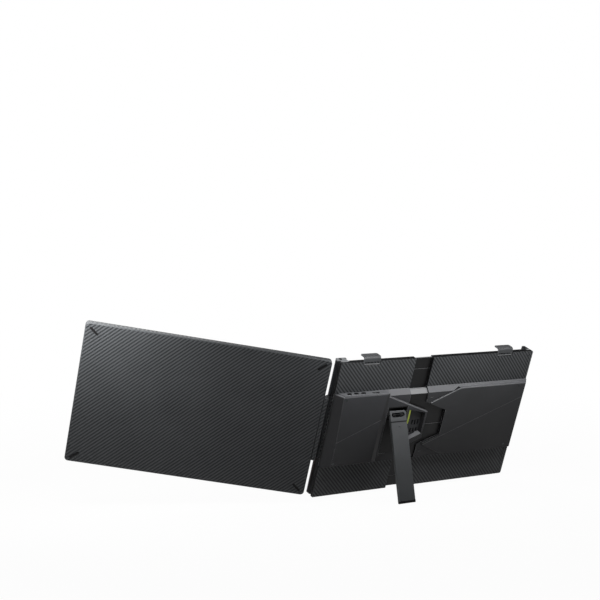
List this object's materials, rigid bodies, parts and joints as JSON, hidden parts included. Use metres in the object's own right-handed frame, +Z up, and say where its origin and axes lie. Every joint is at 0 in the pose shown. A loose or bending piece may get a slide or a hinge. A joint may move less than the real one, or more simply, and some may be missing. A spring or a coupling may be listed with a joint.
{
  "type": "laptop screen extender",
  "caption": "Flat portable screen hinged on the end of an extending bracket that clips round a laptop lid, with a fold-out rear kickstand and hooks over the top edge.",
  "frame": {"origin": "lower corner of the lid slot at the hinge side: where the lid pads' front plane, the slot's side wall and the bracket's bottom edge meet", "axes": "+Z up, +X towards the hinged screen (to the right for the user), -Y towards the user; the bracket leans back 20 degrees from upright, as the lid that it hangs on does"},
  "size_m": [0.6393, 0.2349, 0.2548],
  "materials": {
    "carbon_skin": "satin woven-look film",
    "cover_plastic": "fine matt",
    "bezel_plastic": "matt",
    "display": "lit screen, glossy",
    "backlight": "satin",
    "circuit_board": "satin",
    "steel": "satin",
    "hook_steel": "black satin coating",
    "dark_aluminium": "dark satin anodised",
    "rubber": "matt",
    "button_plastic": "satin",
    "accent": "yellow-green, matt"
  },
  "bodies": {
    "base": {"hinge_post_lower": "bezel_plastic", "hinge_post_upper": "bezel_plastic", "hinge_pins": "steel", "base_front_plate": "bezel_plastic", "base_upper_plate": "carbon_skin", "base_lower_plate": "carbon_skin", "base_lid_pad": "rubber", "slide_tongue": "dark_aluminium", "tongue_screws": "steel", "tongue_ridge": "cover_plastic", "electronics_cover": "cover_plastic", "main_board": "circuit_board", "board_screws": "steel", "button_board": "circuit_board", "hdmi_port": "steel", "usb_c_ports": "steel", "vent_grille": "cover_plastic", "accent_strip": "accent", "cover_screws": "steel", "kickstand_cradle": "cover_plastic", "kickstand_pin": "steel"},
    "screen": {"screen_back_cover": "carbon_skin", "screen_front_bezel": "bezel_plastic", "display_panel": "display", "backlight_unit": "backlight", "driver_board": "circuit_board", "screen_pads": "rubber", "hinge_leaf": "bezel_plastic", "hinge_plate": "steel", "hinge_screws": "steel"},
    "arm": {"arm_front_plate": "bezel_plastic", "arm_upper_plate": "carbon_skin", "arm_lower_plate": "carbon_skin", "arm_cover": "cover_plastic", "arm_cover_screws": "steel", "arm_lid_pad": "rubber", "end_bar_lower": "bezel_plastic", "end_bar_middle": "bezel_plastic", "end_bar_upper": "bezel_plastic"},
    "kickstand": {"kickstand_leg": "dark_aluminium", "kickstand_foot": "rubber"},
    "left_hook": {"left_clip": "hook_steel", "left_clip_pad": "rubber"},
    "right_hook": {"right_clip": "hook_steel", "right_clip_pad": "rubber"},
    "power_button": {"button_power": "button_plastic"},
    "up_button": {"button_up": "button_plastic"},
    "down_button": {"button_down": "button_plastic"}
  },
  "joints": [
    {"name": "screen_fold", "type": "hinge", "parent": "base", "child": "screen", "pos_m": [0.0085, 0.02932, 0.09575], "axis": [0, 0.342, 0.9397], "range_deg": [-150.5, 29.2]},
    {"name": "arm_slide", "type": "slide", "parent": "base", "child": "arm", "axis": [-1, 0, 0], "range_m": [-0.029, 0.06]},
    {"name": "kickstand_swing", "type": "hinge", "parent": "base", "child": "kickstand", "pos_m": [-0.0911, 0.05948, 0.10744], "axis": [1, 0, 0], "range_deg": [-30.5, 29.5]},
    {"name": "left_hook_slide", "type": "slide", "parent": "base", "child": "left_hook", "axis": [0, 0.342, 0.9397], "range_m": [-0.0015, 0.025]},
    {"name": "right_hook_slide", "type": "slide", "parent": "arm", "child": "right_hook", "axis": [0, 0.342, 0.9397], "range_m": [-0.0015, 0.025]},
    {"name": "power_press", "type": "slide", "parent": "base", "child": "power_button", "axis": [0, -0.342, -0.9397], "range_m": [0, 0.0006], "stiffness_N_per_m": 600},
    {"name": "up_press", "type": "slide", "parent": "base", "child": "up_button", "axis": [0, -0.342, -0.9397], "range_m": [0, 0.0006], "stiffness_N_per_m": 600},
    {"name": "down_press", "type": "slide", "parent": "base", "child": "down_button", "axis": [0, -0.342, -0.9397], "range_m": [0, 0.0006], "stiffness_N_per_m": 600}
  ]
}
